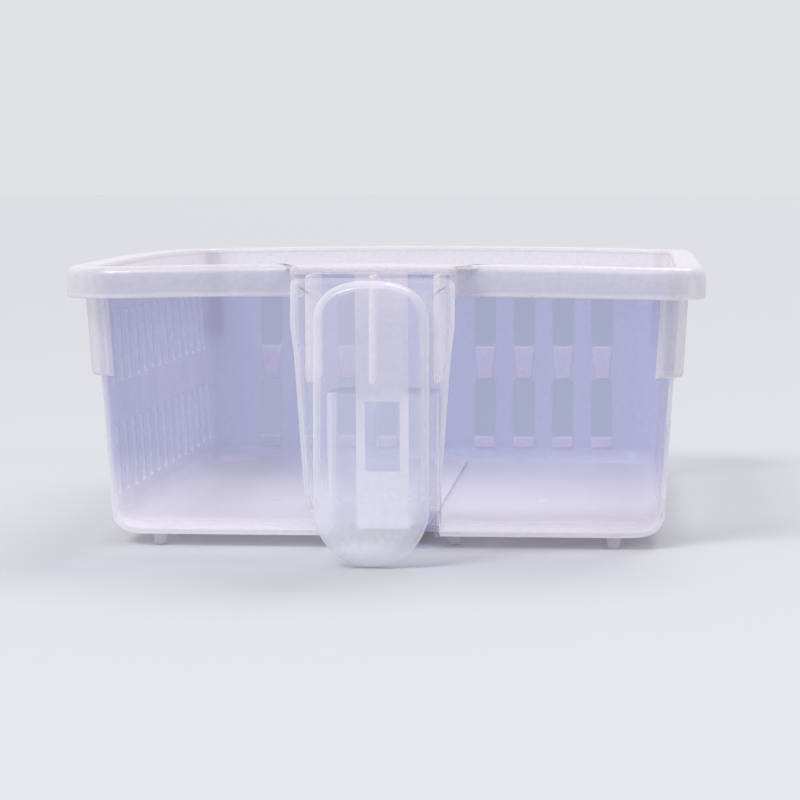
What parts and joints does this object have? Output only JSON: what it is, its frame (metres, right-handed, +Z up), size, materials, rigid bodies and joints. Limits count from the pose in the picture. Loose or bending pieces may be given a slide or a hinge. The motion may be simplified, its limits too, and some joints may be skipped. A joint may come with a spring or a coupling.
{
  "type": "storage caddy",
  "caption": "Translucent open tub with slotted sides and back, a rolled rim, short peg feet and a long hollow finger handle standing off its front.",
  "frame": {"origin": "on the plane the feet stand on, under the middle of the whole outline with the handle", "axes": "+Z up, +Y from the handle at the front to the slotted back wall, +X to the right seen from the front"},
  "size_m": [0.25, 0.382, 0.111],
  "materials": {
    "tub": "natural translucent polypropylene, satin gloss",
    "rim": "natural translucent polypropylene, milky where it is thick",
    "handle": "natural translucent polypropylene, satin gloss",
    "feet": "natural translucent polypropylene"
  },
  "bodies": {
    "root": {"back_wall": "tub", "finger_recess": "tub", "floor_land": "tub", "floor_pan": "tub", "foot_front_left": "feet", "foot_front_middle": "feet", "foot_front_right": "feet", "foot_rear_left": "feet", "foot_rear_middle": "feet", "foot_rear_right": "feet", "front_wall": "tub", "handle_bridge": "handle", "handle_grip": "handle", "handle_rib_centre": "tub", "handle_rib_left": "tub", "handle_rib_right": "tub", "handle_spine": "tub", "handle_wing_left": "handle", "handle_wing_right": "handle", "rim_rail_back": "rim", "rim_rail_front": "rim", "rim_rail_left": "rim", "rim_rail_right": "rim", "side_wall_left": "tub", "side_wall_right": "tub", "stacking_pad_front_left": "tub", "stacking_pad_front_right": "tub", "stacking_pad_rear_left": "tub", "stacking_pad_rear_right": "tub"}
  },
  "joints": []
}
